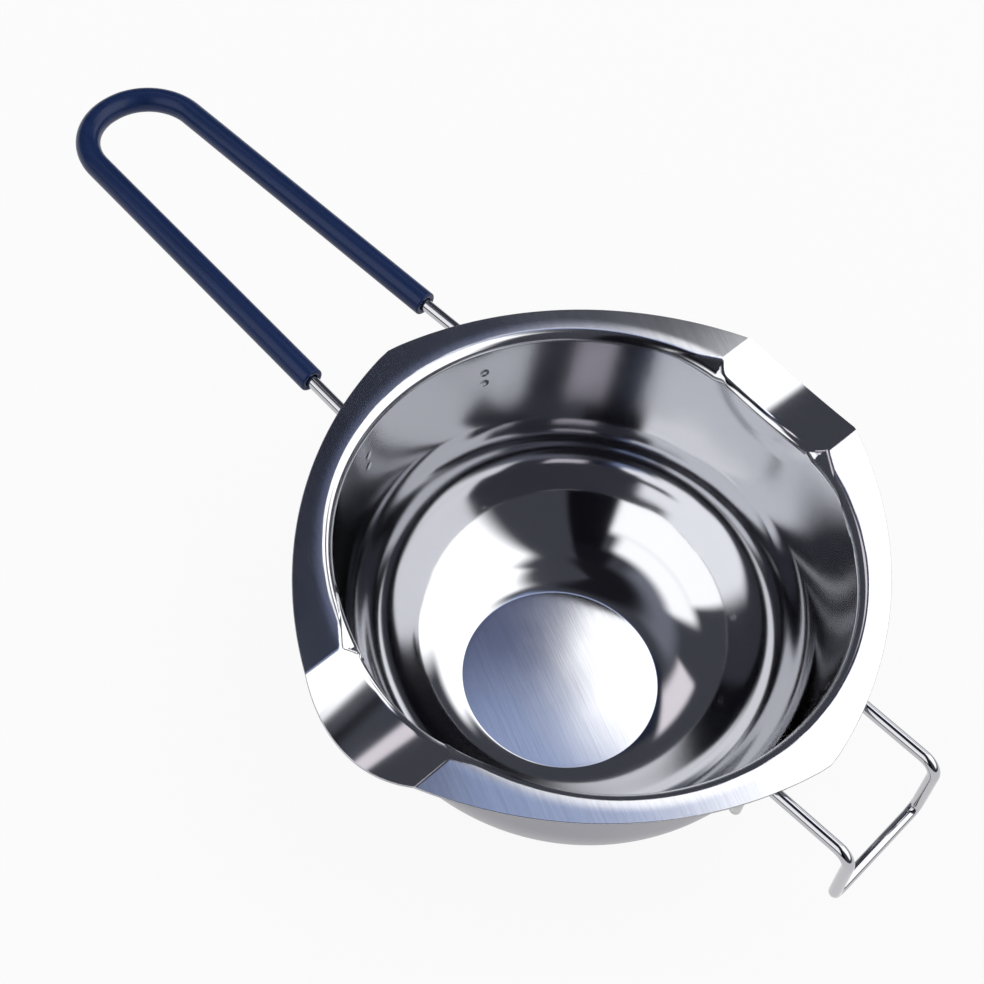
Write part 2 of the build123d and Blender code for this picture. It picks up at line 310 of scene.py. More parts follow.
class PressForm:
    """The upper part of the press form as a distance, the same on both sides."""

    def __init__(self, bowl):
        self.bowl = bowl
        self.wall_run = wall_direction(bowl)
        trough_start = bowl.rim_radius - bowl.trough_depth * self.wall_run.x / self.wall_run.y
        self.trough_slope = (bowl.lip_depth - bowl.trough_depth) / (LIP - trough_start)
        self.necks = [self.neck_side(side) for side in (1, -1)]
        self.neck_start = min(start.y for start, _ in self.necks)

    def neck_side(self, side):
        """Plan line from the wall's top edge to a spout's corner: start and inward normal."""
        bowl = self.bowl
        reach = bowl.rim_radius - bowl.neck_run_in
        corner = Vector((bowl.spout_offset + side * bowl.spout_half_width, bowl.corner_reach))
        turn = math.atan2(corner.y, corner.x) - side * math.acos(reach / corner.length)
        start = Vector((math.cos(turn), math.sin(turn))) * reach
        run = (corner - start).normalized()
        return start, Vector((-run.y, run.x)) * side

    def wall(self, x, y, z):
        """The wall, pushed out a little where a spout was pressed above it."""
        bowl = self.bowl
        radius = np.hypot(x, y)
        half = bowl.spout_half_width
        stretch_round = (half**2 + bowl.stretch_depth**2) / (2 * bowl.stretch_depth)
        across = np.hypot(x - bowl.spout_offset, z + bowl.stretch_depth - stretch_round)
        inside = np.clip((stretch_round - across) / bowl.stretch_fade, 0, 1)
        stretch = bowl.stretch_size * inside**2 * (3 - 2 * inside)
        gap = (radius - bowl.rim_radius) * self.wall_run.y - z * self.wall_run.x - stretch
        up = self.wall_run.y / radius
        return gap, stacked(x * up, y * up, -self.wall_run.x)

    def flange(self, x, y, z):
        """The flange face, which bows in a little before it turns into the wall."""
        inside = np.maximum(self.bowl.flange_dip_reach - np.hypot(x, y), 0)
        return -z - inside**2 / (2 * self.bowl.flange_dip_round), DOWN

    def spout(self, x, y, z):
        """The trough: a circle segment between its creases, deeper towards the lip."""
        half = self.bowl.spout_half_width
        depth = self.bowl.lip_depth + self.trough_slope * (y - LIP)
        radius = (half**2 + depth**2) / (2 * depth)
        side, rise = x - self.bowl.spout_offset, z + depth - radius
        across = np.hypot(side, rise)
        gap = (across - radius) / math.hypot(1, self.trough_slope)
        far = np.where(y < self.neck_start, self.neck_start - y, gap)
        return np.maximum(gap, far), stacked(side / across, 0.0, rise / across)

    def neck(self, x, y, z):
        """The small slopes beside a spout, down to the trough's depth."""
        rise, run = math.sin(self.bowl.neck_slope), math.cos(self.bowl.neck_slope)
        gap, way = -self.bowl.trough_depth - z, DOWN
        outer_end = (Vector((0, self.bowl.corner_reach)), Vector((0, -1)))
        for start, inward in (*self.necks, outer_end):
            off = (x - start.x) * inward.x + (y - start.y) * inward.y
            slope = -off * rise - z * run
            steeper = slope > gap
            gap = np.where(steeper, slope, gap)
            slope_way = (-inward.x * rise, -inward.y * rise, -run)
            way = np.where(steeper[..., None], slope_way, way)
        return np.maximum(gap, self.neck_start - y), way

    def flange_and_spout(self, x, y, z):
        crease = self.bowl.crease
        spout = joined(self.spout(x, y, z), self.neck(x, y, z), crease)
        return joined(self.flange(x, y, z), spout, crease)

    def upper(self, points):
        """Distance to the flange face and the spouts, without the wall."""
        return self.flange_and_spout(*folded(points))[0]

    def whole(self, points):
        """Distance to the whole form. The wall's bend is tighter at a trough's floor."""
        bowl = self.bowl
        x, y, z = folded(points)
        deep_from = 1 - bowl.trough_bend / bowl.trough_depth
        deep = np.clip(-z / bowl.trough_depth - deep_from, 0, 1)
        bend = bowl.rim_bend + (bowl.trough_bend - bowl.rim_bend) * deep
        return joined(self.wall(x, y, z), self.flange_and_spout(x, y, z), bend)[0]

    def gradient(self, points):
        parts = []
        for axis in np.eye(3) * GRADIENT_STEP:
            rise = self.whole(points + axis) - self.whole(points - axis)
            parts.append(rise / (2 * GRADIENT_STEP))
        return np.stack(parts, axis=-1)


# ---------------- bowl: flange outline
def side_outline(bowl, corner_x, turns):
    """Flange outline of one long side at the given polar angles, from the tip on the X axis."""
    tip = Vector((bowl.tip_reach, 0))
    corner = Vector((corner_x, bowl.lip_corner_reach))
    chord = corner - tip
    height = math.sqrt(bowl.side_arc**2 - chord.length_squared / 4)
    centre = (tip + corner) / 2 + Vector((-chord.y, chord.x)).normalized() * height
    inner = bowl.side_arc - bowl.tip_rounding
    round_x = centre.x + math.sqrt(inner**2 - centre.y**2)
    tangent = centre + (Vector((round_x, 0)) - centre) * (bowl.side_arc / inner)
    heading = np.column_stack([np.cos(turns), np.sin(turns)])
    toward = heading @ np.array(centre)
    on_arc = toward + np.sqrt(toward**2 - centre.length_squared + bowl.side_arc**2)
    on_tip = round_x * heading[:, 0]
    on_tip = on_tip + np.sqrt(np.maximum(bowl.tip_rounding**2 - (round_x * heading[:, 1]) ** 2, 0))
    reach = np.where(turns < math.atan2(tangent.y, tangent.x), on_tip, on_arc)
    return heading * reach[:, None]


def lip_outline(bowl, x):
    """Flange outline along a spout's lip."""
    bulge = LIP - bowl.lip_corner_reach
    radius = (bowl.spout_half_width**2 + bulge**2) / (2 * bulge)
    across = x - bowl.spout_offset
    return np.column_stack([x, LIP - radius + np.sqrt(radius**2 - across**2)])


EVEN_SHARE = 0.15  # how much of eased steps stays even
CREASE_INSET = 1.2 * MM  # where a spout's creases meet the wall, inside its top edge


def eased(number, finer):
    """Steps from 0 to 1 that are finer at the start, the end or both."""
    steps = np.linspace(0, 1, number)
    bent = {
        "start": steps**2, "end": 1 - (1 - steps) ** 2, "both": steps * steps * (3 - 2 * steps)
    }
    return (1 - EVEN_SHARE) * bent[finer] + EVEN_SHARE * steps


def bowl_columns(bowl):
    """Plan angle on the wall and outline point of each mesh column, all the way round."""
    crease_reach = bowl.rim_radius - CREASE_INSET
    quarter = []
    for side in (1, -1):
        corner_x = bowl.spout_half_width + side * bowl.spout_offset
        last = math.acos(corner_x / crease_reach)
        lean = math.atan2(bowl.lip_corner_reach, corner_x) - last
        turns = last * eased(bowl.columns, "end")
        outer = turns + lean * (turns / last) ** 3
        points = side_outline(bowl, corner_x, outer)
        if side < 0:
            turns, points = (math.pi - turns)[::-1], points[::-1] * [-1, 1]
        quarter.append((turns, points))
    across = 1 - 2 * eased(bowl.columns, "both")[1:-1]
    x = bowl.spout_offset + bowl.spout_half_width * across
    turns = np.concatenate([quarter[0][0], np.arccos(x / crease_reach), quarter[1][0]])
    points = np.vstack([quarter[0][1], lip_outline(bowl, x), quarter[1][1]])
    mirrored = points[-2:0:-1] * [1, -1]
    return np.concatenate([turns, -turns[-2:0:-1]]), np.vstack([points, mirrored])


# ---------------- bowl: mesh
CLIMB_SPARE = 2 * MM  # how far past the flange face the search up the wall goes
WALL_ROWS, FLANGE_ROWS = 22, 26
SEARCH_STEPS = 40
SETTLE_STEPS, SETTLE_SHARE = 60, 0.9
NEWTON_STEPS = 8


def pressed_face(bowl, skin, turns, outline):
    """Rows of points of one face of the sheet, skin into the metal, from the disc outwards."""
    form = PressForm(bowl)
    section, facing = turned_section(bowl)
    section = section - facing * skin
    heading = np.column_stack([np.cos(turns), np.sin(turns)])

    def turned(points):
        plan = heading[None] * points[:, None, :1]
        return raised(plan, np.broadcast_to(points[:, 1:], plan.shape[:2]))

    rows = turned(section)
    normals = turned(facing)
    # how far up the wall each column climbs before it meets the flange or a spout
    wall = form.wall_run
    foot = section[-1]
    low = np.zeros(len(turns))
    high = np.full(len(turns), (WALL_STOP_DEPTH + CLIMB_SPARE) / wall.y)
    for _ in range(SEARCH_STEPS):
        middle = (low + high) / 2
        reach = foot[0] + middle * wall.x
        under = form.upper(raised(heading * reach[:, None], foot[1] + middle * wall.y)) > skin
        low, high = np.where(under, middle, low), np.where(under, high, middle)
    climb = eased(WALL_ROWS, "end")[1:, None] * low[None]
    wall_plan = heading[None] * (foot[0] + climb * wall.x)[..., None]
    wall_rows = raised(wall_plan, foot[1] + climb * wall.y)
    start = wall_rows[-1, :, :2]
    out = eased(FLANGE_ROWS, "start")[1:, None, None]
    inset = bowl.edge_rounding * normalised(outline - start)
    plan = start[None] + (outline - inset - start)[None] * out
    z = np.full(plan.shape[:2], -skin)
    for _ in range(SETTLE_STEPS):
        z = z + SETTLE_SHARE * (form.upper(raised(plan, z)) - skin)
    upper = np.concatenate([wall_rows, raised(plan, z)])
    for _ in range(NEWTON_STEPS):
        slope = form.gradient(upper)
        miss = (form.whole(upper) - skin) / (slope**2).sum(-1)
        upper = upper - slope * miss[..., None]
    rows = np.concatenate([rows, upper])
    normals = np.concatenate([normals, -normalised(form.gradient(upper))])
    rows[..., 2] += TOP
    return rows, normals * (1 if skin == 0 else -1)


def outline_facing(outline):
    """Outward plan direction at each outline point."""
    run = np.roll(outline, -1, axis=0) - np.roll(outline, 1, axis=0)
    return normalised(np.column_stack([run[:, 1], -run[:, 0]]))


def build_bowl(bowl):
    """The closed sheet. Its cut edge and its under face take the second material."""
    turns, outline = bowl_columns(bowl)
    top, top_normals = pressed_face(bowl, 0, turns, outline)
    under, under_normals = pressed_face(bowl, bowl.sheet, turns, outline)
    outward = raised(outline_facing(outline), np.zeros(len(outline)))
    edge_rows = [
        raised(outline, top[-1, :, 2] - bowl.edge_rounding),
        raised(outline, under[-1, :, 2] + bowl.edge_rounding),
    ]
    rows = np.concatenate([top, edge_rows, under[::-1]])
    normals = np.concatenate([top_normals, [outward, outward], under_normals[::-1]])
    columns = len(turns)
    vertices = [(0, 0, bowl.sheet), *rows.reshape(-1, 3), (0, 0, 0)]
    vertex_normals = [(0, 0, 1), *normals.reshape(-1, 3), (0, 0, -1)]
    last = len(vertices) - 1
    final = last - columns
    faces = []
    outer_side = []
    for column in range(columns):
        after = (column + 1) % columns
        faces.append((0, 1 + column, 1 + after))
        for inner in range(1, final, columns):
            outer = inner + columns
            faces.append((inner + column, outer + column, outer + after, inner + after))
        faces.append((last, final + after, final + column))
        outer_side += [0] * (1 + len(top)) + [1] * (len(rows) - len(top))
    made = mesh_object("pressed_bowl", vertices, faces, vertex_normals)
    made.data.polygons.foreach_set("material_index", outer_side)
    return made


# ---------------- wires
BROKEN_END = 0.86  # share of a wire's radius that is left at its cut ends


def wall_reach(bowl, side_offset, depth, stand_off):
    """How far out a point lies that is stand_off from the wall's outer face, at that depth."""
    wall = wall_direction(bowl)
    reach = bowl.rim_radius - depth * wall.x / wall.y + (bowl.sheet + stand_off) / wall.y
    return math.sqrt(reach**2 - side_offset**2)


def both_sides(half):
    """All corners of a wire and their bend radii, from those on -Y."""
    return half + [((x, -y, z), bend) for (x, y, z), bend in half[::-1]]


def handle_corners(bowl, wires):
    """Corners and bend radii of the handle wire, from one cut end to the other."""
    stand_off = wires.handle_diameter / 2 + wires.wall_gap
    leg_depth = bowl.sheet + wires.handle_gap + wires.handle_diameter / 2
    root, end_half = wires.handle_root_half, wires.handle_end_half
    root_reach = wall_reach(bowl, root, leg_depth, stand_off)
    tail_reach = wall_reach(bowl, root, wires.handle_tail_depth, stand_off)
    end_reach = wires.handle_end_reach - wires.sleeve_diameter / 2
    end_depth = leg_depth + (end_reach - root_reach) * math.tan(wires.handle_droop)
    taper = math.atan2(root - end_half, end_reach - root_reach)
    loop_bend = (end_half - wires.handle_flat / 2) / math.tan((math.pi / 2 - taper) / 2)
    return both_sides([
        ((-tail_reach, -root, TOP - wires.handle_tail_depth), 0.0),
        ((-root_reach, -root, TOP - leg_depth), wires.handle_tail_bend),
        ((-end_reach, -end_half, TOP - end_depth), loop_bend),
    ])


def sleeve_corners(bowl, wires):
    """Corners and bend radii of the sleeve's middle line."""
    corners = handle_corners(bowl, wires)[1:-1]
    (leg, _), (loop, _) = corners[:2]
    part = (-wires.sleeve_start - leg[0]) / (loop[0] - leg[0])
    cut = tuple(a + (b - a) * part for a, b in zip(leg, loop))
    return [(cut, 0.0), *corners[1:-1], ((cut[0], -cut[1], cut[2]), 0.0)]


def hook_corners(bowl, wires):
    """Corners and bend radii of the hook wire, turned to its place."""
    leg_depth = bowl.sheet + wires.hook_gap + wires.hook_diameter / 2
    half = wires.hook_half
    stand_off = wires.hook_diameter / 2 + wires.wall_gap
    tail_reach = wall_reach(bowl, half, leg_depth + wires.hook_tail_bend, stand_off)
    bar_corner = (wires.hook_bar_reach, -wires.hook_bar_half, TOP - wires.hook_bar_depth)
    corners = both_sides([
        ((tail_reach, -half, TOP - wires.hook_tail_depth), 0.0),
        ((tail_reach, -half, TOP - leg_depth), wires.hook_tail_bend),
        ((wires.hook_knee_reach, -half, TOP - leg_depth), wires.hook_knee_bend),
        (bar_corner, wires.hook_corner_bend),
    ])
    turn = Matrix.Rotation(wires.hook_turn, 3, "Z")
    return [(tuple(turn @ Vector(point)), bend) for point, bend in corners]


def bent_rod_tree():
    """Geometry Nodes that bend a rod along a polyline, with named inputs for its sizes."""
    tree = bpy.data.node_groups.new("bent_rod", "GeometryNodeTree")
    for label, kind in (
        ("Geometry", "Geometry"), ("Rod Radius", "Float"), ("Sides", "Int"),
        ("Bend Steps", "Int"), ("Capped", "Bool"), ("Finish", "Material"),
    ):
        tree.interface.new_socket(label, in_out="INPUT", socket_type="NodeSocket" + kind)
    tree.interface.new_socket("Geometry", in_out="OUTPUT", socket_type="NodeSocketGeometry")
    given, result = tree.nodes.new("NodeGroupInput"), tree.nodes.new("NodeGroupOutput")
    to_curve, fillet, sweep, smooth, realize, paint, circle, *named = [
        tree.nodes.new("GeometryNode" + kind) for kind in (
            "MeshToCurve", "FilletCurve", "CurveToMesh", "SetShadeSmooth", "RealizeInstances",
            "SetMaterial", "CurvePrimitiveCircle", "InputNamedAttribute", "InputNamedAttribute",
        )
    ]
    chain = (given, to_curve, fillet, sweep, smooth, realize, paint, result)
    for before, after in zip(chain, chain[1:]):
        tree.links.new(before.outputs[0], after.inputs[0])
    fillet.mode = "POLY"
    fillet.inputs["Limit Radius"].default_value = False
    tree.links.new(circle.outputs["Curve"], sweep.inputs["Profile Curve"])
    for label, node, socket in (
        ("Rod Radius", circle, "Radius"), ("Sides", circle, "Resolution"),
        ("Bend Steps", fillet, "Count"), ("Capped", sweep, "Fill Caps"),
        ("Finish", paint, "Material"),
    ):
        tree.links.new(given.outputs[label], node.inputs[socket])
    targets = {"bend_radius": fillet.inputs["Radius"], "swell": sweep.inputs["Scale"]}
    for node, (label, target) in zip(named, targets.items()):
        node.inputs["Name"].default_value = label
        tree.links.new(node.outputs["Attribute"], target)
    return tree


def bent_rod(name, corners, end_break, values):
    """A rod bent through its corners, as a plain mesh object. Its cut ends are broken by
    end_break, so that their edges aren't sharp."""
    points = [Vector(point) for point, _ in corners]
    bends = [bend for _, bend in corners]
    swells = [1.0] * len(points)
    if end_break:
        first = points[0] + (points[1] - points[0]).normalized() * end_break
        last = points[-1] + (points[-2] - points[-1]).normalized() * end_break
        points = [points[0], first, *points[1:-1], last, points[-1]]
        bends = [0.0, 0.0, *bends[1:-1], 0.0, 0.0]
        swells = [BROKEN_END, *[1.0] * (len(points) - 2), BROKEN_END]
    mesh = bpy.data.meshes.new(name + "_route")
    mesh.from_pydata(points, [(k, k + 1) for k in range(len(points) - 1)], [])
    for label, numbers in (("bend_radius", bends), ("swell", swells)):
        mesh.attributes.new(label, "FLOAT", "POINT").data.foreach_set("value", numbers)
    route = linked(name + "_route", mesh)
    modifier = route.modifiers.new("bent_rod", "NODES")
    modifier.node_group = bpy.data.node_groups.get("bent_rod") or bent_rod_tree()
    for item in modifier.node_group.interface.items_tree:
        if item.in_out == "INPUT" and item.name in values:
            modifier[item.identifier] = values[item.name]
    bpy.context.view_layer.update()
    evaluated = route.evaluated_get(bpy.context.evaluated_depsgraph_get())
    rod = bpy.data.meshes.new_from_object(evaluated)
    rod.name = name
    bpy.data.objects.remove(route)
    return linked(name, rod)


# ---------------- materials
class Nodes:
    """Short ways to add and wire the nodes of one shader tree."""

    def __init__(self, tree):
        self.tree = tree

    def fill(self, socket, value):
        """Links another node's output to the socket, or gives the socket a constant."""
        if isinstance(value, bpy.types.NodeSocket):
            self.tree.links.new(value, socket)
        else:
            socket.default_value = value

    def node(self, kind, options=(), **inputs):
        """A new node with its own options. A _ in an input's name stands for a space."""
        made = self.tree.nodes.new("ShaderNode" + kind)
        for label, value in dict(options).items():
            setattr(made, label, value)
        for label, value in inputs.items():
            self.fill(made.inputs[label.replace("_", " ")], value)
        return made

    def math(self, operation, *values, clamp=False):
        made = self.node("Math", {"operation": operation, "use_clamp": clamp})
        for socket, value in zip(made.inputs, values):
            self.fill(socket, value)
        return made.outputs[0]

    def plus(self, first, second):
        return self.math("ADD", first, second)

    def times(self, first, second):
        return self.math("MULTIPLY", first, second)

    def spread(self, value, low, high, to_low, to_high, smooth=False):
        options = {"interpolation_type": "SMOOTHSTEP" if smooth else "LINEAR"}
        given = {"From_Min": low, "From_Max": high, "To_Min": to_low, "To_Max": to_high}
        return self.node("MapRange", options, Value=value, **given).outputs["Result"]

    def tones(self, factor, first, second):
        """A colour between two. The first may be another node's output."""
        if not isinstance(first, bpy.types.NodeSocket):
            first = (*first, 1)
        given = {"Factor": factor, "A": first, "B": (*second, 1)}
        return self.node("Mix", {"data_type": "RGBA"}, **given).outputs["Result"]

    def seen(self):
        """1 for rays that show a surface, directly or in metal, otherwise 0."""
        rays = self.node("LightPath").outputs
        direct = self.math("MAXIMUM", rays["Is Camera Ray"], rays["Is Glossy Ray"])
        return self.math("MAXIMUM", direct, rays["Is Transmission Ray"])


class Finish(Nodes):
    """One procedural material."""

    def __init__(self, name, metallic=0.0):
        self.material = bpy.data.materials.new(name)
        self.material.use_nodes = True
        super().__init__(self.material.node_tree)
        self.shader = self.tree.nodes["Principled BSDF"]
        self.shader.inputs["Metallic"].default_value = metallic
        self.place = self.node("TexCoord").outputs["Object"]

    def mapped(self, turn, scale, place=None):
        given = {"Rotation": (0, 0, turn), "Scale": scale}
        return self.node("Mapping", Vector=place or self.place, **given).outputs[0]

    def noise(self, scale, detail, place=None):
        given = {"Scale": scale, "Detail": detail}
        return self.node("TexNoise", Vector=place or self.place, **given).outputs["Fac"]

    def parts(self):
        """x, y, z and the distance from the bowl's axis."""
        x, y, z = self.node("SeparateXYZ", Vector=self.place).outputs
        return x, y, z, self.math("SQRT", self.plus(self.times(x, x), self.times(y, y)))

    def coat(self, factor, first, second, rough):
        """Base colour between two tones, and roughness."""
        self.fill(self.shader.inputs["Base Color"], self.tones(factor, first, second))
        self.fill(self.shader.inputs["Roughness"], rough)

    def bump(self, height, strength, distance):
        made = self.node("Bump", Strength=strength, Distance=distance, Height=height)
        self.fill(self.shader.inputs["Normal"], made.outputs["Normal"])

    def show(self, output):
        self.fill(self.tree.nodes["Material Output"].inputs["Surface"], output)


def shades(rgb, swing):
    """A darker and a lighter shade of a colour."""
    return [tuple(min(1.0, part * factor) for part in rgb) for factor in (1 - swing, 1 + swing)]


GRAIN_STRETCH = 0.035  # size of the grain's features across it, for 1 along it
GRAIN_RELIEF, DENT_RELIEF = 0.0018, -0.11  # heights in millimetres
DENT_CORE, DENT_REACH = 0.25 * MM, 1.5 * MM
WALL_DULLNESS = 0.045  # the drawn upper wall is less polished than the bottom


def weld_marks(bowl, wires):
    """Places on the inner wall where the wires' spot welds show through."""
    marks = []
    for way, half, depth, turn in (
        (-1, wires.handle_root_half, wires.high_weld_depth, 0),
        (-1, wires.handle_root_half, wires.low_weld_depth, 0),
        (1, wires.hook_half, wires.hook_weld_depth, wires.hook_turn),
    ):
        reach = way * wall_reach(bowl, half, depth, -bowl.sheet)
        for y in (half, -half):
            place = Matrix.Rotation(turn, 3, "Z") @ Vector((reach, y, TOP - depth))
            marks.append(tuple(place))
    return marks


def bowl_finish(settings, bowl, wires):
    """Polished stainless sheet whose rolling grain still shows on the flat disc and the flange."""
    finish = Finish("polished_sheet_steel", 1.0)
    base, rim = bowl.base_radius, bowl.rim_radius
    z, radius = finish.parts()[2:]
    grain_line = finish.mapped(-settings.grain_turn, (1, 1, 1))
    stretched = finish.mapped(0, (GRAIN_STRETCH, 1, 1), grain_line)
    fine = finish.times(finish.noise(2600, 2.0, stretched), 0.6)
    streaks = finish.plus(fine, finish.times(finish.noise(700, 1.5, stretched), 0.4))
    on_disc = finish.spread(radius, base - 1.5 * MM, base, 1, 0, True)
    near_top = finish.spread(z, TOP - 3 * MM, TOP - 0.6 * MM, 0, 1, True)
    past_rim = finish.spread(radius, rim + 1 * MM, rim + 3 * MM, 0, 1, True)
    flat = finish.math("MAXIMUM", on_disc, finish.times(near_top, past_rim))
    height = finish.times(finish.times(streaks, flat), GRAIN_RELIEF)
    for mark in weld_marks(bowl, wires):
        gap = finish.node("VectorMath", {"operation": "DISTANCE"}, Vector=finish.place)
        gap.inputs[1].default_value = mark
        dents = (gap.outputs["Value"], DENT_CORE, DENT_REACH, DENT_RELIEF, 0, True)
        height = finish.plus(height, finish.spread(*dents))
    finish.bump(height, 1.0, MM)
    clouds = finish.noise(45, 3.0)
    rough = finish.spread(clouds, 0.3, 0.7, settings.polish * 0.8, settings.polish * 1.25)
    rough = finish.plus(rough, finish.times(flat, 0.02))
    dull = finish.spread(z, 32 * MM, 46 * MM, 0, WALL_DULLNESS, True)
    streaky = finish.times(flat, finish.spread(streaks, 0.35, 0.65, -0.5, 0.5))
    wear = finish.math("ADD", finish.times(clouds, 0.3), finish.plus(streaky, 0.35), clamp=True)
    finish.coat(wear, *shades(settings.steel, 0.06), finish.plus(rough, dull))
    return finish.material


def outer_finish(settings):
    """The sheet's outer face as it leaves the press: satin, with faint lines turned round it. Its
    dark base tone is partly the unpolished face and partly painted shade, standing in for the
    shaded floor that the face reflects.
    """
    finish = Finish("satin_outer_steel_painted_shade", 1.0)
    z, radius = finish.parts()[2:]
    section = finish.node("CombineXYZ", X=radius, Z=z).outputs[0]
    lines = finish.noise(1500, 2.0, section)
    clouds = finish.noise(30, 3.0)
    mixed = finish.plus(finish.times(lines, 0.5), finish.times(clouds, 0.5))
    rough = finish.spread(clouds, 0.3, 0.7, 0.24, 0.34)
    # the dark base tone here is partly painted shade for the reflected floor
    finish.coat(mixed, *shades(settings.satin_steel_and_painted_shade, 0.12), rough)
    finish.bump(lines, 0.5, 0.004 * MM)
    return finish.material


def wire_finish(settings):
    """Bright drawn rod with a little unevenness."""
    finish = Finish("drawn_steel_rod", 1.0)
    clouds = finish.noise(120, 3.0)
    rough = finish.spread(clouds, 0.3, 0.7, 0.05, 0.11)
    finish.coat(clouds, *shades(settings.wire_steel, 0.04), rough)
    finish.bump(finish.noise(400, 2.0), 0.12, 0.002 * MM)
    return finish.material


def sleeve_finish(settings):
    """Soft navy sleeve: satin, with faint long streaks and a slight orange-peel skin."""
    finish = Finish("navy_sleeve")
    finish.shader.inputs["Specular IOR Level"].default_value = 0.28
    streaks = finish.noise(700, 3.0, finish.mapped(0, (0.06, 1, 1)))
    skin = finish.times(finish.noise(2200, 2.0), 0.3)
    rough = finish.spread(streaks, 0.3, 0.7, 0.28, 0.36)
    finish.coat(streaks, *shades(settings.sleeve_navy, 0.25), rough)
    finish.bump(finish.plus(streaks, skin), 0.3, 0.012 * MM)
    return finish.material


def weld_finish(settings):
    """Dull welded metal with a heat tint and a rough skin."""
    finish = Finish("weld_skin", 1.0)
    clouds = finish.noise(900, 4.0)
    rough = finish.spread(clouds, 0.3, 0.7, 0.28, 0.5)
    finish.coat(clouds, settings.weld_grey, settings.weld_straw, rough)
    finish.bump(clouds, 0.6, 0.05 * MM)
    return finish.material


# ---------------- stage
FLOOR_CORNERS = ((-6, -6), (6, -6), (6, 6), (-6, 6))
FLOOR_LEVEL = -0.05 * MM  # just under the base disc, so that they don't share a plane
FLOOR_GLOW = 0.92  # share of the seen white that doesn't depend on the lamps
AIR_LEVEL = 0.55  # brightness of the air where it isn't seen
SHELL_RINGS, SHELL_AROUND = 24, 64
SOFT_BOXES = (  # name, place, size, brightness
    ("soft_box_high", (0.5, 0.7, 1.6), 1.2, 1.1),
    ("soft_box_side", (-1.3, -0.6, 1.2), 0.9, 0.7),
)


def floor_finish(stage):
    """Pale matt floor, whose white hardly depends on the lamps where it is seen."""
    finish = Finish("pale_floor")
    finish.shader.inputs["Specular IOR Level"].default_value = 0.1
    finish.coat(finish.noise(3, 3.0), *shades(stage.floor_colour, 0.01), 0.9)
    mix = finish.node("MixShader", Fac=finish.times(finish.seen(), FLOOR_GLOW))
    finish.fill(mix.inputs[1], finish.shader.outputs["BSDF"])
    finish.fill(mix.inputs[2], finish.node("Emission").outputs["Emission"])
    finish.show(mix.outputs[0])
    return finish.material


def shell_finish(stage):
    """Studio shell that only polished surfaces show: white soft boxes with dark gaps between."""
    finish = Finish("studio_shell")
    x, y, z, radius = finish.parts()
    full_turn = 2 * math.pi
    bearing = finish.math("FLOORED_MODULO", finish.math("ARCTAN2", y, x), full_turn)
    height = finish.math("ARCTAN2", z, radius)

    def patch(first, last, low, high, soft_side, soft_end):
        """1 inside a patch of the shell, with soft edges."""
        half = (last - first) / 2
        turned = finish.plus(bearing, 1.5 * full_turn - (first + last) / 2)
        turned = finish.math("FLOORED_MODULO", turned, full_turn)
        away = finish.math("ABSOLUTE", finish.math("SUBTRACT", turned, full_turn / 2))
        side = finish.spread(away, half - soft_side, half + soft_side, 1, 0, True)
        over = finish.spread(height, low - soft_end, low + soft_end, 0, 1, True)
        under = finish.spread(height, high - soft_end, high + soft_end, 1, 0, True)
        return finish.times(side, finish.times(over, under))

    window = stage.window_level
    white, side_white = (window,) * 3, (0.8 * window,) * 3
    tone_now = (0.070, 0.073, 0.090)
    # first and last bearing, low and high edge, softness of sides and ends, in degrees
    for degrees, tone in (
        ((122, 152, 51, 66, 5, 2), (0.022, 0.028, 0.046)),
        ((96, 132, 54.5, 72, 5, 2.5), (0.12, 0.14, 0.25)),
        ((96, 128, 61.5, 72, 4, 1.5), (0.40, 0.50, 0.78)),
        ((165, 262, 63, 74, 12, 4), (0.22, 0.23, 0.28)),
        ((6, 81, 15, 70, 8, 4), white),
        ((34, 85, 60, 74, 6, 3), white),
        ((60, 106, 43, 67, 4, 3), white),
        ((60, 116, 49, 63, 3, 2), white),
        ((60, 105, 15, 31, 4, 3), white),
        ((60, 121, 53, 60.8, 0.5, 0.8), white),
        ((60, 119, 53, 62.4, 0.6, 0.7), white),
        ((225, 297, 15, 52, 3, 4), side_white),
        ((213, 289, 50, 65, 5, 3.5), side_white),
        ((149, 179, 48, 60, 2.5, 2), (0.55 * window, 0.51 * window, 0.54 * window)),
        ((298, 323, -20, 77, 2, 4), (0.006, 0.006, 0.009)),
        ((285, 323, 66, 80, 6, 3), (0.010, 0.010, 0.014)),
        ((95, 335, 77, 95, 15, 3), (0.012, 0.012, 0.016)),
    ):
        tone_now = finish.tones(patch(*map(math.radians, degrees)), tone_now, tone)
    finish.show(finish.node("Emission", Color=tone_now).outputs["Emission"])
    return finish.material


def build_floor(stage):
    corners = [(x, y, FLOOR_LEVEL) for x, y in FLOOR_CORNERS]
    floor = mesh_object("pale_floor", corners, [(0, 1, 2, 3)])
    floor.data.materials.append(floor_finish(stage))


def build_shell(stage):
    """A dome round the object, hidden from the camera and from diffuse light."""
    radius, around = stage.shell_radius, SHELL_AROUND
    vertices = []
    faces = []
    for ring in range(SHELL_RINGS):
        lift = ring / SHELL_RINGS * math.pi / 2
        reach, level = radius * math.cos(lift), radius * math.sin(lift)
        for step in range(around):
            turn = 2 * math.pi * step / around
            vertices.append((reach * math.cos(turn), reach * math.sin(turn), level))
            low, low_after = ring * around + step, ring * around + (step + 1) % around
            if ring < SHELL_RINGS - 1:
                faces.append((low, low + around, low_after + around, low_after))
            else:
                faces.append((low, SHELL_RINGS * around, low_after))
    vertices.append((0, 0, radius))
    shell = mesh_object("studio_shell", vertices, faces)
    shell.data.materials.append(shell_finish(stage))
    for rays in ("camera", "diffuse", "transmission", "shadow"):
        setattr(shell, "visible_" + rays, False)


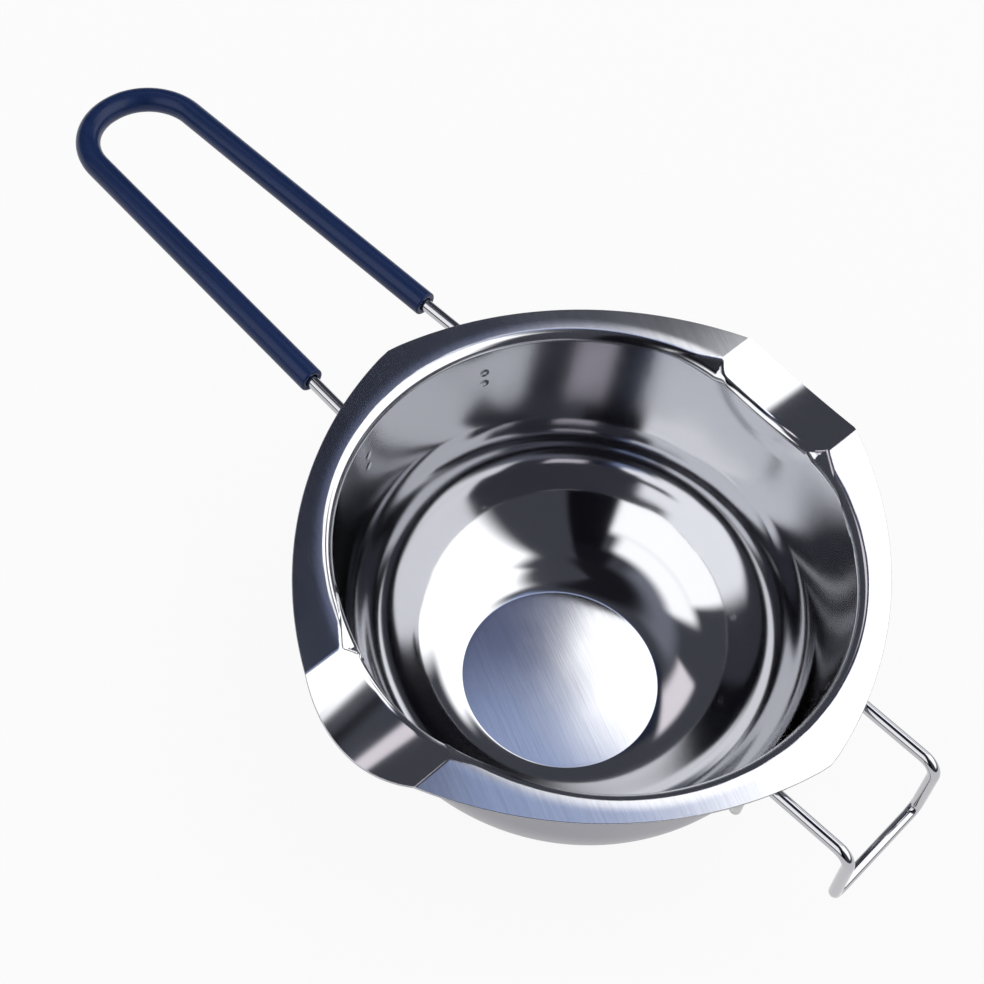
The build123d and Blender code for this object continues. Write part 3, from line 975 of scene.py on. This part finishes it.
def build_world():
    """White air, dimmer for the rays that only carry light."""
    world = bpy.data.worlds.new("studio_air")
    world.use_nodes = True
    bpy.context.scene.world = world
    air = Nodes(world.node_tree)
    background = air.tree.nodes["Background"]
    background.inputs["Color"].default_value = (1, 1, 1, 1)
    air.fill(background.inputs["Strength"], air.spread(air.seen(), 0, 1, AIR_LEVEL, 1.0))


def build_lamp(name, place, size, level):
    """A soft box that faces the bowl. level is the brightness of its face."""
    lamp = bpy.data.lights.new(name, "AREA")
    lamp.size = size
    lamp.energy = level * math.pi * size**2
    soft_box = linked(name, lamp)
    soft_box.location = place
    soft_box.rotation_euler = (Vector(place) * -1).to_track_quat("-Z", "Y").to_euler()
    soft_box.visible_glossy = False


def build_camera(stage):
    turn, lift = stage.view_azimuth, stage.view_elevation
    plan = math.cos(lift)
    back = Vector((plan * math.cos(turn), plan * math.sin(turn), math.sin(lift)))
    level = Vector((0, 0, 1)).cross(back).normalized()
    right = Matrix.Rotation(stage.view_roll, 3, back) @ level
    placed = Matrix((right, back.cross(right), back)).transposed().to_4x4()
    placed.translation = Vector(stage.view_aim) + back * stage.view_distance
    camera = linked("photo_view", bpy.data.cameras.new("photo_view"))
    camera.data.lens = stage.lens
    camera.data.clip_start = 10 * MM
    camera.matrix_world = placed
    bpy.context.scene.camera = camera


# ---------------- operators
class MELTER_OT_bowl(bpy.types.Operator):
    """Presses the bowl, with its spouts and flange, from one sheet"""

    bl_idname = "melter.bowl"
    bl_label = "Pressed bowl"

    def execute(self, context):
        bowl, finish = context.scene.melter_bowl, context.scene.melter_finish
        piece = build_bowl(bowl)
        piece.data.materials.append(bowl_finish(finish, bowl, context.scene.melter_wires))
        piece.data.materials.append(outer_finish(finish))
        finish_piece(piece, "bowl")
        return {"FINISHED"}


class MELTER_OT_wires(bpy.types.Operator):
    """Bends the handle wire and the hook wire"""

    bl_idname = "melter.wires"
    bl_label = "Handle and hook wires"

    def execute(self, context):
        bowl, wires = context.scene.melter_bowl, context.scene.melter_wires
        sizes = {
            "Sides": wires.sides, "Bend Steps": wires.bend_steps, "Capped": True,
            "Finish": wire_finish(context.scene.melter_finish),
        }
        for name, node, corners, diameter in (
            ("bent_handle_wire", "handle_wire", handle_corners(bowl, wires), wires.handle_diameter),
            ("bent_hook_wire", "hook_wire", hook_corners(bowl, wires), wires.hook_diameter),
        ):
            sizes["Rod Radius"] = diameter / 2
            finish_piece(bent_rod(name, corners, wires.end_break, sizes), node)
        return {"FINISHED"}


class MELTER_OT_sleeve(bpy.types.Operator):
    """Draws the navy sleeve over the handle loop"""

    bl_idname = "melter.sleeve"
    bl_label = "Grip sleeve"

    def execute(self, context):
        bowl, wires = context.scene.melter_bowl, context.scene.melter_wires
        piece = bent_rod("soft_grip_sleeve", sleeve_corners(bowl, wires), 0, {
            "Rod Radius": wires.sleeve_diameter / 2, "Sides": wires.sleeve_sides,
            "Bend Steps": wires.sleeve_bend_steps, "Capped": False,
            "Finish": sleeve_finish(context.scene.melter_finish),
        })
        air = wires.sleeve_clearance
        wall = piece.modifiers.new("sleeve_wall", "SOLIDIFY")
        wall.thickness = (wires.sleeve_diameter - wires.handle_diameter) / 2 - air
        wall.offset = -1
        soft_end = piece.modifiers.new("soft_end", "BEVEL")
        soft_end.width = wires.sleeve_end_break
        soft_end.segments = 3
        soft_end.limit_method = "ANGLE"
        soft_end.angle_limit = math.radians(60)
        finish_piece(piece, "grip_sleeve")
        return {"FINISHED"}


class MELTER_OT_welds(bpy.types.Operator):
    """Gives the welded patches between the wires and the wall their dull skin"""

    bl_idname = "melter.welds"
    bl_label = "Welds"

    def execute(self, context):
        finish = weld_finish(context.scene.melter_finish)
        for node in ("handle_welds", "hook_welds"):
            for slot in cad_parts[node].material_slots:
                slot.material = finish
        return {"FINISHED"}


class MELTER_OT_stage(bpy.types.Operator):
    """Sets up the pale floor, the soft light and the camera"""

    bl_idname = "melter.stage"
    bl_label = "Studio stage"

    def execute(self, context):
        stage = context.scene.melter_stage
        context.scene.view_settings.view_transform = "Standard"
        build_floor(stage)
        build_shell(stage)
        build_world()
        for soft_box in SOFT_BOXES:
            build_lamp(*soft_box)
        build_camera(stage)
        return {"FINISHED"}


class MELTER_PT_panel(bpy.types.Panel):
    """Sidebar panel with the melter's steps"""

    bl_idname = "MELTER_PT_panel"
    bl_label = "Candle wax melter"
    bl_space_type = "VIEW_3D"
    bl_region_type = "UI"
    bl_category = "Wax melter"

    def draw(self, context):
        column = self.layout.column()
        for operator in OPERATORS:
            column.operator(operator.bl_idname)


OPERATORS = (MELTER_OT_bowl, MELTER_OT_wires, MELTER_OT_sleeve, MELTER_OT_welds, MELTER_OT_stage)
SETTINGS = (
    ("melter_bowl", MelterBowlSettings),
    ("melter_wires", MelterWireSettings),
    ("melter_finish", MelterFinishSettings),
    ("melter_stage", MelterStageSettings),
)


def register():
    for name, group in SETTINGS:
        bpy.utils.register_class(group)
        setattr(bpy.types.Scene, name, PointerProperty(type=group))
    for made in (*OPERATORS, MELTER_PT_panel):
        bpy.utils.register_class(made)


def unregister():
    for made in reversed((*OPERATORS, MELTER_PT_panel)):
        bpy.utils.unregister_class(made)
    for name, group in reversed(SETTINGS):
        delattr(bpy.types.Scene, name)
        bpy.utils.unregister_class(group)


def main():
    register()
    bpy.ops.melter.stage()
    bpy.ops.melter.bowl()
    bpy.ops.melter.wires()
    bpy.ops.melter.sleeve()
    bpy.ops.melter.welds()


if __name__ == "__main__":
    main()
